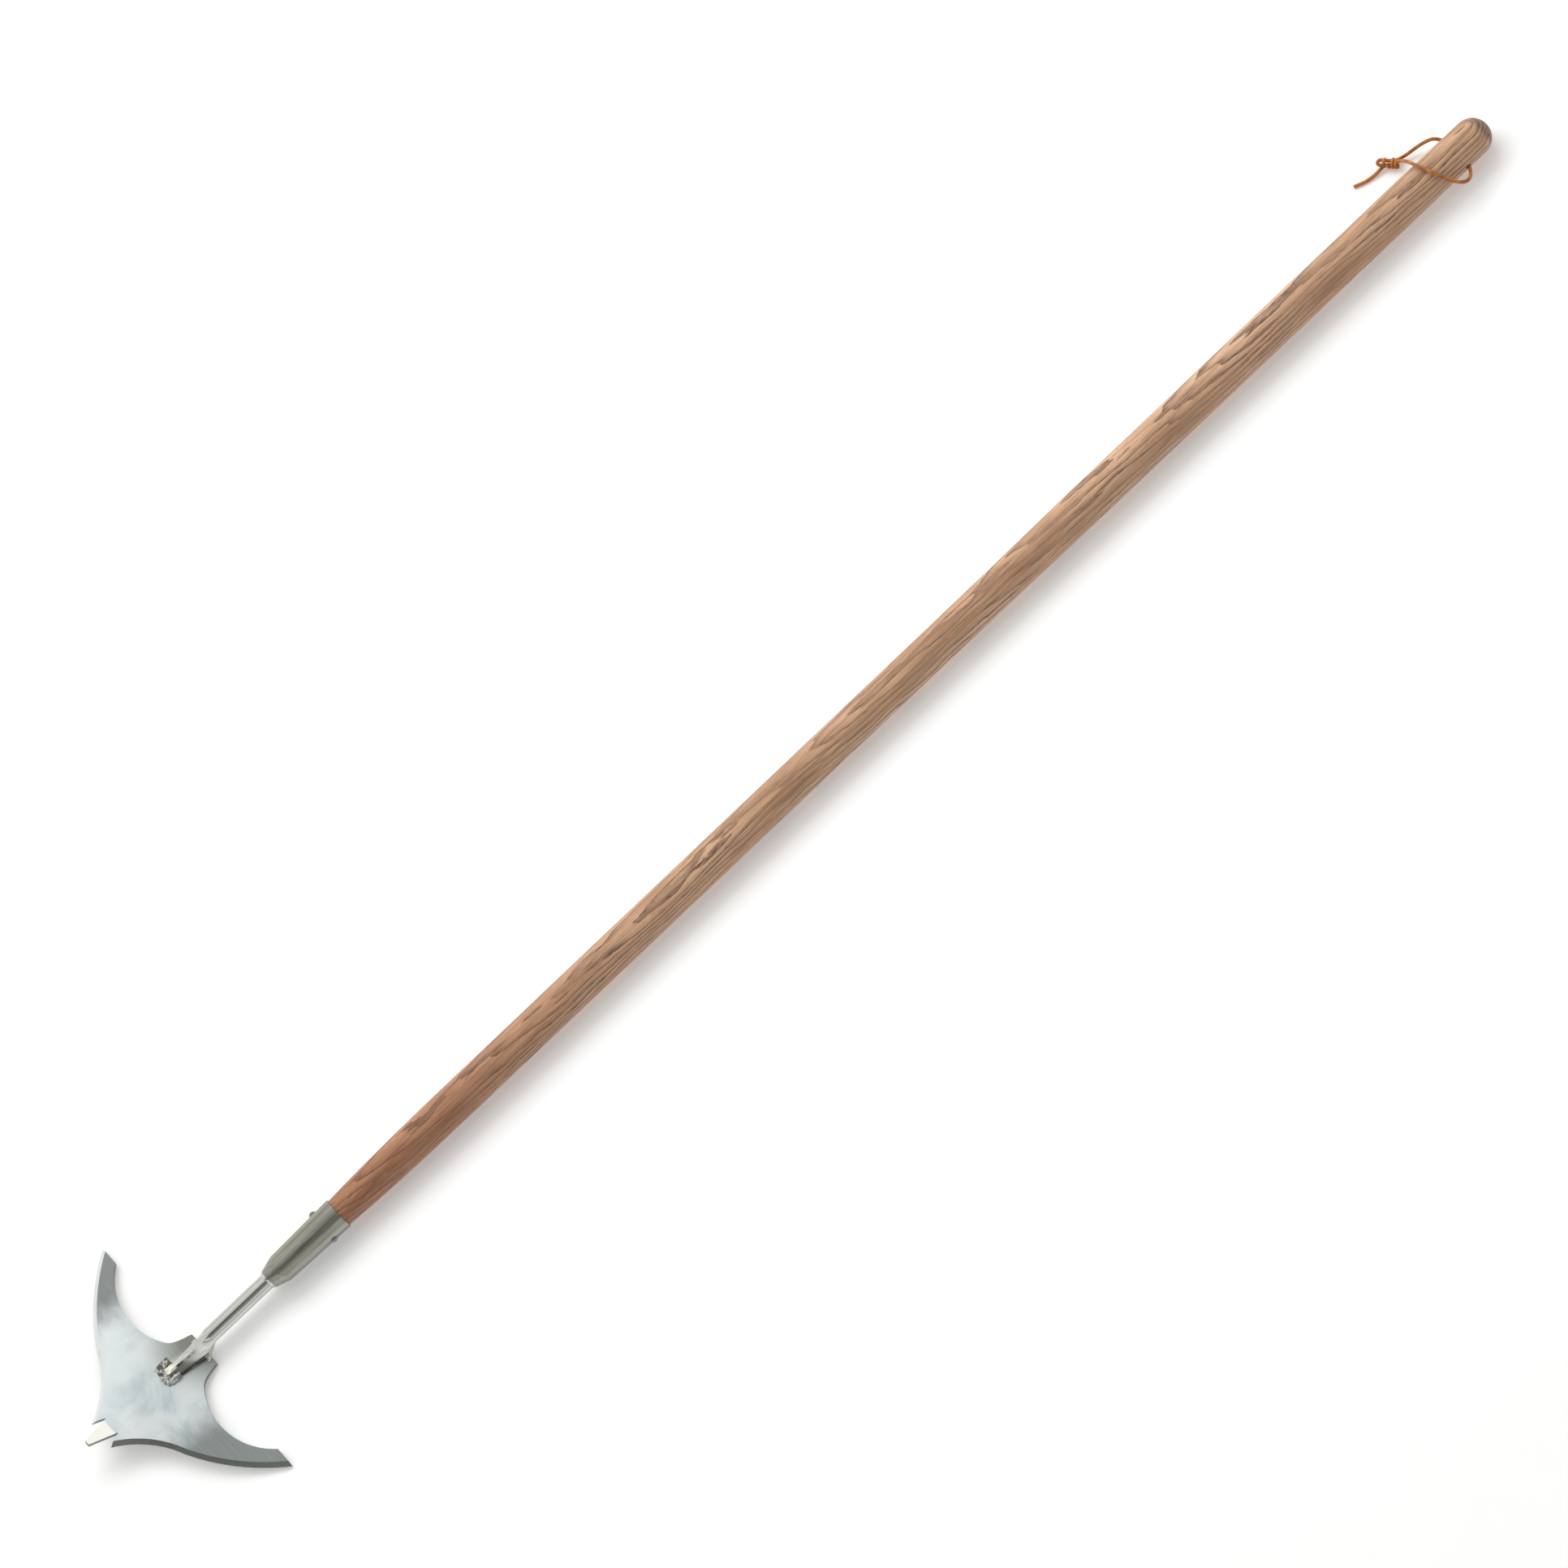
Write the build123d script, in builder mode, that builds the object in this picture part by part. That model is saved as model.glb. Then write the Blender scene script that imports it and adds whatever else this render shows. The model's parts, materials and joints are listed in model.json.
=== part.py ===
from build123d import *
from math import cos, pi, radians, sin, tan
import os

# A long-handled crescent hoe lying on the ground: an ash handle in a riveted steel socket, a round
# neck, and a stainless blade with two horns and a forked nose.
# Millimetres. +X runs along the handle to the butt, -X to the nose of the blade, +Y to the tool's
# left, +Z up. The origin is on the ground, halfway along the tool and on its centre plane.

# ---- handle ----
HANDLE_REACH = 1271.0      # socket mouth to the end of the butt
TANG_LENGTH = 62.0         # wood inside the socket
WAIST_DIA = 31.3           # middle of the handle
GRIP_DIA = 32.8            # the fuller grip near the butt
BUTT_DIA = 32.0
NOSE_SWELL = 100.0         # length over which most of the wood's swelling out of the socket is done
NOSE_REST = 0.5            # radius that the wood still has to gain there
NOSE_STEEPNESS = 2.0       # how many times steeper than the socket the wood leaves it
WAIST_START = 176.0        # waist and grip, measured from the socket mouth
WAIST_END = 700.0
GRIP_START = 850.0
GRIP_END = 1180.0
THONG_HOLE_DIA = 5.0
THONG_HOLE_SETBACK = 34.5  # hole centre to the end of the butt

# ---- socket ----
SOCKET_LENGTH = 77.4
SOCKET_CONE = 64.4         # mouth to shoulder, where the pinch starts
SOCKET_MOUTH_DIA = 28.4
SOCKET_SHOULDER_DIA = 24.9
SOCKET_WALL = 1.4
PINCH_WALL = 1.15          # wall beside the neck, thinned by the pinch
PINCH_HEIGHT = 22.0        # outside height of the pinched end
TANG_CLEARANCE = 0.05      # wood to steel, on the radius

# ---- rivet ----
RIVET_SETBACK = 16.7       # from the socket mouth
RIVET_DIA = 5.0
RIVET_CLEARANCE = 0.05     # on the radius
HEAD_DIA = 7.3             # factory head, on the left
HEAD_HEIGHT = 3.3
PEEN_DIA = 6.4             # hammered head, on the right
PEEN_HEIGHT = 2.3

# ---- neck and foot ----
NECK_DIA = 14.0
NECK_IN_SOCKET = 13.0      # length of rod inside the socket's front end
NECK_REACH = 154.5         # socket mouth to the heel of the blade
FLARE_LENGTH = 12.0        # the round rod turns into the foot over this length
FOOT_LENGTH = 35.0         # heel to toe, measured along the blade
FOOT_WIDTH = 18.5          # at the blade
CREST_WIDTH = 6.0          # width of the flat on top, at the heel
SHOULDER_INSET = 1.6       # the foot's side leans in this much up to its shoulder
HEEL_SHOULDER = 7.0        # height of the shoulder above the blade, at the heel
TOE_LEFT = 9.5             # the toe, hammered over to the left
TOE_RIGHT = 4.5
RIDGE_OFFSET = 1.2         # the toe's ridge, right of the neck's axis
RIDGE_HEIGHT = 9.0
TOE_LEFT_SHOULDER = 4.5
TOE_RIGHT_SHOULDER = 3.5
TOE_INSET = 0.4            # the toe's sides lean in this much

# ---- blade ----
BLADE_PITCH = 10.3         # degrees, nose up
BLADE_THICKNESS = 4.5
HEEL_DROP = 11.95          # neck axis down to the blade's upper face, at the heel
HEEL_WIDTH = 33.0
HEEL_SLOPE = 0.27          # how fast the heel widens at its corners
SPAN = 250.0               # horn tip to horn tip
HORN_TIP = 18.0            # width of the square-cut horn tips
HORN_SETBACK = 8.5         # horn tips, forward of the heel
WAIST_FORWARD = 21.0       # where the heel's short curve meets the hollow rear edge
WAIST_FLARE = 9.5          # how much wider than the heel each side is there
REAR_DEPTH = 31.0          # deepest point of the hollow rear edge, forward of the heel
REAR_INSET = 65.5          # deepest point, inward of the horn's tip
NOSE_LENGTH = 108.0        # heel to the tips of the two prongs
PRONG_SPREAD = 26.0        # between the prong tips
BROW_FORWARD = 42.5        # middle of the convex front edge, forward of the heel
BROW_INSET = 31.0          # and inward of the horn's tip
TURN_FORWARD = 67.0        # where the front edge turns from convex to hollow
TURN_INSET = 67.0
CHEEK_SETBACK = 18.9       # middle of the hollow front edge, behind the prong tips
CHEEK_FLARE = 13.5         # and outward of them
NOTCH_DEPTH = 11.6
NOTCH_WIDTH = 17.0         # at its root
BEVEL_WIDTH = 3.6          # ground bevel along the front edges
BEVEL_DEPTH = 3.5
TONGUE_LENGTH = 22.5
TONGUE_ROOT = 16.1
TONGUE_TIP = 4.0
TONGUE_LIFT = 13.0         # degrees above the blade
TONGUE_BEND = 10.0         # radius of the bend at the tongue's root
TONGUE_INSET = 10.0        # length of the tongue's strip that lies inside the plate

# ---- welds ----
SOCKET_BEAD = 2.2          # weld standing out of the socket's front end
BEAD_ROUNDING = 0.7        # share of that bead's height that its rounded edge takes
BEAD_STEP = 0.5            # weld kept inside the edge of the pinched end
TOE_BEAD_LENGTH = 7.0
TOE_BEAD_HEIGHT = 7.0
TOE_BEAD_CROWN = 14.0      # radius of its hollowed-out slope
TOE_BEAD_LEFT = 12.5       # the toe's weld reaches this far to each side of the axis
TOE_BEAD_RIGHT = 6.0
HEEL_BEAD_RADIUS = 2.6

# ---- hanging thong ----
THONG_DIA = 3.0
THONG_STANDOFF = 0.8       # how far the thong stands straight out of the hole
THONG_GROUND_GAP = 0.1     # tail to the ground
BEND_SHARE = 0.45          # share of the shorter of two runs that the bend between them takes
KNOT_LENGTH = 21.0
KNOT_DIA = 10.0
KNOT_TURN = 50.0           # degrees between the knot and the handle

# ---- worked out from the sizes above ----
PITCH = radians(BLADE_PITCH)
LIFT = radians(TONGUE_LIFT)
AXIS_Z = max(GRIP_DIA / 2, HEEL_DROP + BLADE_THICKNESS * cos(PITCH))
NOTCH_ROOT = NOSE_LENGTH - NOTCH_DEPTH
tongue_end = NOTCH_ROOT + TONGUE_BEND * sin(LIFT) + TONGUE_LENGTH * cos(LIFT) + BLADE_THICKNESS * sin(LIFT)
tongue_rise = TONGUE_BEND * (1 - cos(LIFT)) + TONGUE_LENGTH * sin(LIFT) - BLADE_THICKNESS * cos(LIFT)
NOSE_REACH = NECK_REACH + tongue_end * cos(PITCH) - tongue_rise * sin(PITCH)
MOUTH_X = (NOSE_REACH - HANDLE_REACH) / 2
BUTT_X = MOUTH_X + HANDLE_REACH
HEEL_X = MOUTH_X - NECK_REACH
HOLE_X = BUTT_X - THONG_HOLE_SETBACK
RIVET_X = MOUTH_X - RIVET_SETBACK
cone_slope = (SOCKET_MOUTH_DIA - SOCKET_SHOULDER_DIA) / 2 / SOCKET_CONE
tang_mouth_radius = SOCKET_MOUTH_DIA / 2 - SOCKET_WALL - TANG_CLEARANCE
tang_end_radius = tang_mouth_radius - cone_slope * TANG_LENGTH
rivet_seat = SOCKET_MOUTH_DIA / 2 - cone_slope * RIVET_SETBACK

socket_cone = [
    (0, 0),
    (0, SOCKET_MOUTH_DIA / 2),
    (-SOCKET_CONE, SOCKET_SHOULDER_DIA / 2),
    (-SOCKET_CONE, 0),
]

# The line that the handle, the socket and the neck are turned about.
AXLE = Axis((MOUTH_X, 0, AXIS_Z), (1, 0, 0))
# The side view, with its origin on the neck's axis at the socket mouth.
SIDE = Plane(origin=(MOUTH_X, 0, AXIS_Z), x_dir=(1, 0, 0), z_dir=(0, -1, 0))
# The blade's upper face: x forward from the heel, y to the tool's right.
heel_point = (HEEL_X, 0, AXIS_Z - HEEL_DROP)
BLADE = Plane(origin=heel_point, x_dir=(-cos(PITCH), 0, sin(PITCH)), z_dir=(sin(PITCH), 0, cos(PITCH)))
# The blade's side view: x forward from the heel, y up out of the blade.
BLADE_SIDE = Plane(origin=heel_point, x_dir=(-cos(PITCH), 0, sin(PITCH)), z_dir=(0, 1, 0))


def across(distance):
    """A plane across the neck's axis, this far from the socket mouth towards the blade, y upward."""
    return Plane(origin=(MOUTH_X - distance, 0, AXIS_Z), x_dir=(0, -1, 0), z_dir=(-1, 0, 0))


# ---- socket: a cone rolled from plate, pinched onto the neck ----
with BuildPart() as socket:
    with BuildSketch(SIDE):
        with BuildLine():
            Polyline(*socket_cone, close=True)
        make_face()
    revolve(axis=AXLE)
    with BuildSketch(across(SOCKET_CONE)):
        Circle(SOCKET_SHOULDER_DIA / 2)
    with BuildSketch(across(SOCKET_LENGTH)):
        Ellipse(NECK_DIA / 2 + PINCH_WALL, PINCH_HEIGHT / 2)
    loft()
    with BuildSketch(SIDE):
        with BuildLine():
            Polyline(
                (0, 0),
                (0, SOCKET_MOUTH_DIA / 2 - SOCKET_WALL),
                (-SOCKET_CONE, SOCKET_SHOULDER_DIA / 2 - SOCKET_WALL),
                (-SOCKET_CONE, 0),
                close=True,
            )
        make_face()
    revolve(axis=AXLE, mode=Mode.SUBTRACT)
    with BuildSketch(across(SOCKET_CONE)):
        Circle(SOCKET_SHOULDER_DIA / 2 - SOCKET_WALL)
    with BuildSketch(across(SOCKET_LENGTH)):
        Ellipse(NECK_DIA / 2, PINCH_HEIGHT / 2 - SOCKET_WALL)
    loft(mode=Mode.SUBTRACT)
    with BuildSketch(Plane(origin=(RIVET_X, 0, AXIS_Z), x_dir=(1, 0, 0), z_dir=(0, 1, 0))):
        Circle(RIVET_DIA / 2 + RIVET_CLEARANCE)
    extrude(amount=SOCKET_MOUTH_DIA, both=True, mode=Mode.SUBTRACT)

# ---- handle: turned ash, with a waist, a fuller grip and a round butt ----
with BuildPart() as handle:
    with BuildSketch(SIDE):
        with BuildLine():
            Line((-TANG_LENGTH, 0), (-TANG_LENGTH, tang_end_radius))
            Line((-TANG_LENGTH, tang_end_radius), (0, tang_mouth_radius))
            Spline(
                (0, tang_mouth_radius),
                (NOSE_SWELL, WAIST_DIA / 2 - NOSE_REST),
                (WAIST_START, WAIST_DIA / 2),
                tangents=((1, NOSE_STEEPNESS * cone_slope), (1, 0)),
            )
            Line((WAIST_START, WAIST_DIA / 2), (WAIST_END, WAIST_DIA / 2))
            Spline(
                (WAIST_END, WAIST_DIA / 2),
                (GRIP_START, GRIP_DIA / 2),
                tangents=((1, 0), (1, 0)),
            )
            Line((GRIP_START, GRIP_DIA / 2), (GRIP_END, GRIP_DIA / 2))
            Line((GRIP_END, GRIP_DIA / 2), (HANDLE_REACH - BUTT_DIA / 2, BUTT_DIA / 2))
            RadiusArc(
                (HANDLE_REACH - BUTT_DIA / 2, BUTT_DIA / 2),
                (HANDLE_REACH, 0),
                BUTT_DIA / 2,
            )
            Line((HANDLE_REACH, 0), (-TANG_LENGTH, 0))
        make_face()
    revolve(axis=AXLE)
    for hole_x, hole_dia in (
        (RIVET_X, RIVET_DIA + 2 * RIVET_CLEARANCE),
        (HOLE_X, THONG_HOLE_DIA),
    ):
        with BuildSketch(Plane(origin=(hole_x, 0, AXIS_Z), x_dir=(1, 0, 0), z_dir=(0, 1, 0))):
            Circle(hole_dia / 2)
        extrude(amount=GRIP_DIA, both=True, mode=Mode.SUBTRACT)

# ---- rivet: a factory head on the left, a hammered head on the right ----
with BuildPart() as rivet:
    with BuildSketch(Plane(origin=(RIVET_X, 0, AXIS_Z), x_dir=(1, 0, 0), z_dir=(0, 0, 1))):
        for side, dia, height in ((1, HEAD_DIA, HEAD_HEIGHT), (-1, PEEN_DIA, PEEN_HEIGHT)):
            rim = side * (rivet_seat - SOCKET_WALL)
            seat = side * rivet_seat
            crown = side * (rivet_seat + height)
            dome_radius = (height**2 + dia**2 / 4) / (2 * height)
            with BuildLine():
                Polyline((0, crown), (0, rim), (dia / 2, rim), (dia / 2, seat))
                RadiusArc((0, crown), (dia / 2, seat), side * dome_radius)
            make_face()
    revolve(axis=Axis((RIVET_X, 0, AXIS_Z), (0, 1, 0)))
    with BuildSketch(SIDE):
        with BuildLine():
            Polyline(*socket_cone, close=True)
        make_face()
    revolve(axis=AXLE, mode=Mode.SUBTRACT)
    with BuildSketch(Plane(origin=(RIVET_X, 0, AXIS_Z), x_dir=(1, 0, 0), z_dir=(0, 1, 0))):
        Circle(RIVET_DIA / 2)
    extrude(amount=rivet_seat + PEEN_HEIGHT / 2, both=True)

# ---- tongue: the middle of the nose, slit free and bent up out of the plate ----
tongue_start = NOTCH_ROOT - TONGUE_INSET
with BuildPart() as tongue:
    with BuildSketch(BLADE_SIDE):
        bend_centre = (NOTCH_ROOT, TONGUE_BEND)
        with BuildLine():
            Polyline((NOTCH_ROOT, -BLADE_THICKNESS), (tongue_start, -BLADE_THICKNESS), (tongue_start, 0))
            Line((tongue_start, 0), (NOTCH_ROOT, 0))
            inner = CenterArc(bend_centre, TONGUE_BEND, -90, TONGUE_LIFT)
            top = PolarLine(inner @ 1, TONGUE_LENGTH, TONGUE_LIFT)
            tip = PolarLine(top @ 1, BLADE_THICKNESS, TONGUE_LIFT - 90)
            PolarLine(tip @ 1, TONGUE_LENGTH, TONGUE_LIFT + 180)
            CenterArc(bend_centre, TONGUE_BEND + BLADE_THICKNESS, -90, TONGUE_LIFT)
        make_face()
    extrude(amount=TONGUE_ROOT, both=True)
    with BuildSketch(BLADE.offset(-2 * BLADE_THICKNESS)):
        with BuildLine():
            Polyline(
                (tongue_start, -TONGUE_ROOT / 2),
                (NOTCH_ROOT, -TONGUE_ROOT / 2),
                (tongue_end, -TONGUE_TIP / 2),
                (tongue_end, TONGUE_TIP / 2),
                (NOTCH_ROOT, TONGUE_ROOT / 2),
                (tongue_start, TONGUE_ROOT / 2),
                close=True,
            )
        make_face()
    extrude(amount=TONGUE_LENGTH + 4 * BLADE_THICKNESS, mode=Mode.INTERSECT)

# ---- blade: a crescent of plate with a forked nose ----
heel_corner = (0, HEEL_WIDTH / 2)
waist_point = (WAIST_FORWARD, HEEL_WIDTH / 2 + WAIST_FLARE)
horn_inner = (HORN_SETBACK, SPAN / 2 - HORN_TIP)
horn_outer = (HORN_SETBACK, SPAN / 2)
turn_point = (TURN_FORWARD, SPAN / 2 - TURN_INSET)
prong_tip = (NOSE_LENGTH, PRONG_SPREAD / 2)
rear_top = AXIS_Z - HEEL_DROP + REAR_DEPTH * sin(PITCH)  # the rear edge lies below this, at its ends

with BuildPart() as blade:
    with BuildSketch(BLADE):
        with BuildLine():
            rear = ThreePointArc(waist_point, (REAR_DEPTH, SPAN / 2 - REAR_INSET), horn_inner)
            Spline(heel_corner, waist_point, tangents=((1, HEEL_SLOPE), rear % 0))
            Line(horn_inner, horn_outer)
            ThreePointArc(horn_outer, (BROW_FORWARD, SPAN / 2 - BROW_INSET), turn_point)
            cheek = (NOSE_LENGTH - CHEEK_SETBACK, PRONG_SPREAD / 2 + CHEEK_FLARE)
            ThreePointArc(turn_point, cheek, prong_tip)
            Polyline(prong_tip, (NOTCH_ROOT, NOTCH_WIDTH / 2), (NOTCH_ROOT, 0), (0, 0), heel_corner)
        make_face()
        mirror(about=Plane.XZ)
    extrude(amount=-BLADE_THICKNESS)
    upper_face = blade.faces().sort_by(Axis(heel_point, BLADE.z_dir))[-1]
    arcs = upper_face.edges().filter_by(GeomType.CIRCLE)
    front_edges = arcs.filter_by(lambda edge: max((edge @ 0).Z, (edge @ 1).Z) > rear_top)
    chamfer(front_edges, length=BEVEL_WIDTH, length2=BEVEL_DEPTH, reference=upper_face)
    add(tongue.part)

# ---- neck: a round rod, forged out into a ridged foot that sits on the blade ----
toe = NECK_REACH + FOOT_LENGTH * cos(PITCH)
toe_base = -HEEL_DROP + FOOT_LENGTH * sin(PITCH)


def foot_section(distance, base, outline):
    """A section of the foot, given as places to the right of the axis and above the blade."""
    with BuildSketch(across(distance)) as section:
        with BuildLine():
            Polyline(*[(right, base + height) for right, height in outline], close=True)
        make_face()
    return section.sketch


heel_outline = [
    (-FOOT_WIDTH / 2, 0),
    (FOOT_WIDTH / 2, 0),
    (FOOT_WIDTH / 2 - SHOULDER_INSET, HEEL_SHOULDER),
    (CREST_WIDTH / 2, HEEL_DROP + NECK_DIA / 2),
    (-CREST_WIDTH / 2, HEEL_DROP + NECK_DIA / 2),
    (-FOOT_WIDTH / 2 + SHOULDER_INSET, HEEL_SHOULDER),
]
toe_outline = [
    (-TOE_LEFT, 0),
    (TOE_RIGHT, 0),
    (TOE_RIGHT - TOE_INSET, TOE_RIGHT_SHOULDER),
    (RIDGE_OFFSET, RIDGE_HEIGHT),
    (-TOE_LEFT + 2 * TOE_INSET, TOE_LEFT_SHOULDER),
    (-TOE_LEFT + TOE_INSET, TOE_LEFT_SHOULDER / 2),
]
with BuildPart() as neck:
    with BuildSketch(across(SOCKET_LENGTH - NECK_IN_SOCKET)):
        Circle(NECK_DIA / 2)
    extrude(amount=NECK_REACH - FLARE_LENGTH - SOCKET_LENGTH + NECK_IN_SOCKET)
    heel_section = foot_section(NECK_REACH, -HEEL_DROP, heel_outline)
    toe_section = foot_section(toe, toe_base, toe_outline)
    with BuildSketch(across(NECK_REACH - FLARE_LENGTH)) as round_section:
        Circle(NECK_DIA / 2)
    loft(sections=[round_section.sketch, heel_section])
    loft(sections=[heel_section, toe_section])

# ---- welds: neck to socket, and neck to blade ----
with BuildPart() as socket_weld:
    with BuildSketch(across(SOCKET_LENGTH)):
        Ellipse(NECK_DIA / 2 + PINCH_WALL - BEAD_STEP, PINCH_HEIGHT / 2 - BEAD_STEP)
    extrude(amount=SOCKET_BEAD)
    fillet(socket_weld.faces().sort_by(Axis.X)[0].edges(), radius=BEAD_ROUNDING * SOCKET_BEAD)
    with BuildSketch(across(SOCKET_LENGTH)):
        Ellipse(NECK_DIA / 2 - BEAD_STEP, PINCH_HEIGHT / 2 - SOCKET_WALL)
    extrude(amount=-SOCKET_BEAD)
    with BuildSketch(across(SOCKET_LENGTH)):
        Circle(NECK_DIA / 2)
    extrude(amount=2 * SOCKET_BEAD, both=True, mode=Mode.SUBTRACT)

with BuildPart() as toe_weld:
    with BuildSketch(BLADE_SIDE) as toe_profile:
        with BuildLine():
            Polyline(
                (FOOT_LENGTH + TOE_BEAD_LENGTH, 0),
                (FOOT_LENGTH - TOE_BEAD_HEIGHT, 0),
                (FOOT_LENGTH - TOE_BEAD_HEIGHT, TOE_BEAD_HEIGHT),
            )
            RadiusArc(
                (FOOT_LENGTH - TOE_BEAD_HEIGHT, TOE_BEAD_HEIGHT),
                (FOOT_LENGTH + TOE_BEAD_LENGTH, 0),
                TOE_BEAD_CROWN,
            )
        make_face()
    extrude(amount=TOE_BEAD_LEFT, dir=(0, 1, 0))
    extrude(toe_profile.sketch, amount=TOE_BEAD_RIGHT, dir=(0, -1, 0))
    add(neck.part, mode=Mode.SUBTRACT)

with BuildPart() as heel_weld:
    for side in (-1, 1):
        bead_centre = BLADE.from_local_coords((HEEL_BEAD_RADIUS, side * FOOT_WIDTH / 2, 0))
        with Locations(bead_centre):
            Sphere(HEEL_BEAD_RADIUS)
    split(bisect_by=BLADE, keep=Keep.TOP)
    add(neck.part, mode=Mode.SUBTRACT)

# ---- hanging thong: a round leather lace through the handle, knotted into a loop ----
hole_mouth = BUTT_DIA / 2 + THONG_STANDOFF
on_ground = THONG_DIA / 2 + THONG_GROUND_GAP - AXIS_Z
KNOT = (41.5, 38.6, KNOT_DIA / 2 - AXIS_Z)

# Points are the distance from the hole towards the blade, then left, then above the handle's axis.
long_strand_route = [
    (0, -hole_mouth, 0),
    (3.0, -23.5, 0.5),
    (11.0, -26.0, 2.5),
    (19.0, -21.0, 11.5),
    (25.0, -9.5, 20.5),
    (30.0, 5.0, 22.3),
    (33.0, 18.5, 15.0),
    (35.0, 27.5, 3.5),
    (KNOT[0] - 5.0, KNOT[1] - 5.0, KNOT[2] + 1.6),
]
short_strand_route = [
    (0, hole_mouth, 0),
    (2.5, 23.0, -1.0),
    (10.5, 27.8, -4.6),
    (19.5, 31.5, -9.5),
    (28.5, 33.5, -12.0),
    (KNOT[0] - 5.5, KNOT[1] - 2.5, KNOT[2] - 0.8),
]
tail_route = [
    (KNOT[0] + 2.5, KNOT[1] + 1.5, KNOT[2] - 0.5),
    (52.0, 40.0, 3.0 - AXIS_Z),
    (60.0, 40.9, on_ground),
    (67.5, 42.7, on_ground),
    (74.5, 45.8, on_ground),
]


def lace(route, name):
    """A round lace along straight runs joined by arcs nearly as large as the runs allow."""
    points = [Vector(HOLE_X - forward, left, AXIS_Z + up) for forward, left, up in route]
    runs = [after - before for before, after in zip(points, points[1:])]
    radii = []
    for run, next_run in zip(runs, runs[1:]):
        half_turn = radians(run.get_angle(next_run) / 2)
        radii.append(BEND_SHARE * min(run.length, next_run.length) / tan(half_turn))
    with BuildPart() as piece:
        with BuildLine() as path:
            FilletPolyline(*points, radius=radii)
        with BuildSketch(Plane(origin=path.line @ 0, z_dir=path.line % 0)):
            Circle(THONG_DIA / 2)
        sweep(path=path.wire())
    section_times_length = pi * THONG_DIA**2 / 4 * path.wire().length
    print(name, "bend radii", [round(radius, 1) for radius in radii])
    print(name, "length", round(path.wire().length, 1), "volume", round(piece.part.volume, 1),
          "section x length", round(section_times_length, 1))
    return piece


thong_long_strand = lace(long_strand_route, "thong_long_strand")
thong_short_strand = lace(short_strand_route, "thong_short_strand")
thong_tail = lace(tail_route, "thong_tail")

with BuildPart() as thong_core:
    with BuildSketch(Plane(origin=(HOLE_X, 0, AXIS_Z), x_dir=(1, 0, 0), z_dir=(0, 1, 0))):
        Circle(THONG_DIA / 2)
    extrude(amount=hole_mouth, both=True)

with BuildPart() as thong_knot:
    knot_centre = (HOLE_X - KNOT[0], KNOT[1], AXIS_Z + KNOT[2])
    knot_angle = radians(KNOT_TURN)
    knot_plane = Plane(origin=knot_centre, x_dir=(-cos(knot_angle), sin(knot_angle), 0), z_dir=(0, 0, 1))
    with BuildSketch(knot_plane):
        with BuildLine():
            Line((-KNOT_LENGTH / 2, 0), (KNOT_LENGTH / 2, 0))
            EllipticalCenterArc((0, 0), KNOT_LENGTH / 2, KNOT_DIA / 2, start_angle=0, arc_size=180)
        make_face()
    revolve(axis=Axis(knot_centre, knot_plane.x_dir))

pieces = {
    "handle": handle,
    "socket": socket,
    "rivet": rivet,
    "neck": neck,
    "socket_weld": socket_weld,
    "blade": blade,
    "toe_weld": toe_weld,
    "heel_weld": heel_weld,
    "thong_core": thong_core,
    "thong_long_strand": thong_long_strand,
    "thong_short_strand": thong_short_strand,
    "thong_knot": thong_knot,
    "thong_tail": thong_tail,
}
os.makedirs("parts", exist_ok=True)
for name, piece in pieces.items():
    piece.part.label = name
    export_step(piece.part, f"parts/{name}.step")
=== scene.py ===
import json
import math
import bpy
import bmesh
from mathutils import Matrix, Vector, noise


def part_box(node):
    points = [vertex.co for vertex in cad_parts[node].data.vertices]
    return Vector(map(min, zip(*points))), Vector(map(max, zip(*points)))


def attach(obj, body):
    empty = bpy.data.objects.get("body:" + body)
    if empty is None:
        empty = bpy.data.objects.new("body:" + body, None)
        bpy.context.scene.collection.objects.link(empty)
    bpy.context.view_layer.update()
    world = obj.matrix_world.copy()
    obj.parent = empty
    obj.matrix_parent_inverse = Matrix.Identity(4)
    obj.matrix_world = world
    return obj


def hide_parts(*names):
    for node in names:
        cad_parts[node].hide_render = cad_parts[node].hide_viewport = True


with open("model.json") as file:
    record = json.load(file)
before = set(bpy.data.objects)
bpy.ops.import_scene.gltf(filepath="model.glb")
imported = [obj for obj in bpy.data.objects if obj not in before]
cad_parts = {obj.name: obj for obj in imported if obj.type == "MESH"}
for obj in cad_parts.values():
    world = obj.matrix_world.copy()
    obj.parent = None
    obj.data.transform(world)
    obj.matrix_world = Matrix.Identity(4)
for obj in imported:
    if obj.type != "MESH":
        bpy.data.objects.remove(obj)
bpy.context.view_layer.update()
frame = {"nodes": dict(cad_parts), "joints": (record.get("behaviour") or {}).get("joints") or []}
scene = bpy.context.scene

# ---- places, from the frame ----
MM = 0.001
handle_low, handle_high = (Vector(corner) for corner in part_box("handle"))
socket_low, socket_high = (Vector(corner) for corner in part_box("socket"))
blade_low, blade_high = (Vector(corner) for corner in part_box("blade"))
AXIS_Z = (handle_low.z + handle_high.z) / 2
MOUTH_X = socket_high.x
BUTT_X = handle_high.x
HOLE = Vector(frame["joints"][0]["pos_m"])
BLADE_PITCH = math.radians(10.3)
BLADE_NORMAL = Vector((math.sin(BLADE_PITCH), 0, math.cos(BLADE_PITCH)))
BLADE_FORWARD = Vector((-math.cos(BLADE_PITCH), 0, math.sin(BLADE_PITCH)))
HEEL_DROP = 11.95 * MM
HEEL = Vector((blade_high.x, 0, AXIS_Z - HEEL_DROP))
THONG_DIA = 3 * MM
THONG_HOLE_DIA = 5 * MM
RIVET_HOLE_DIA = 5.1 * MM


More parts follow.
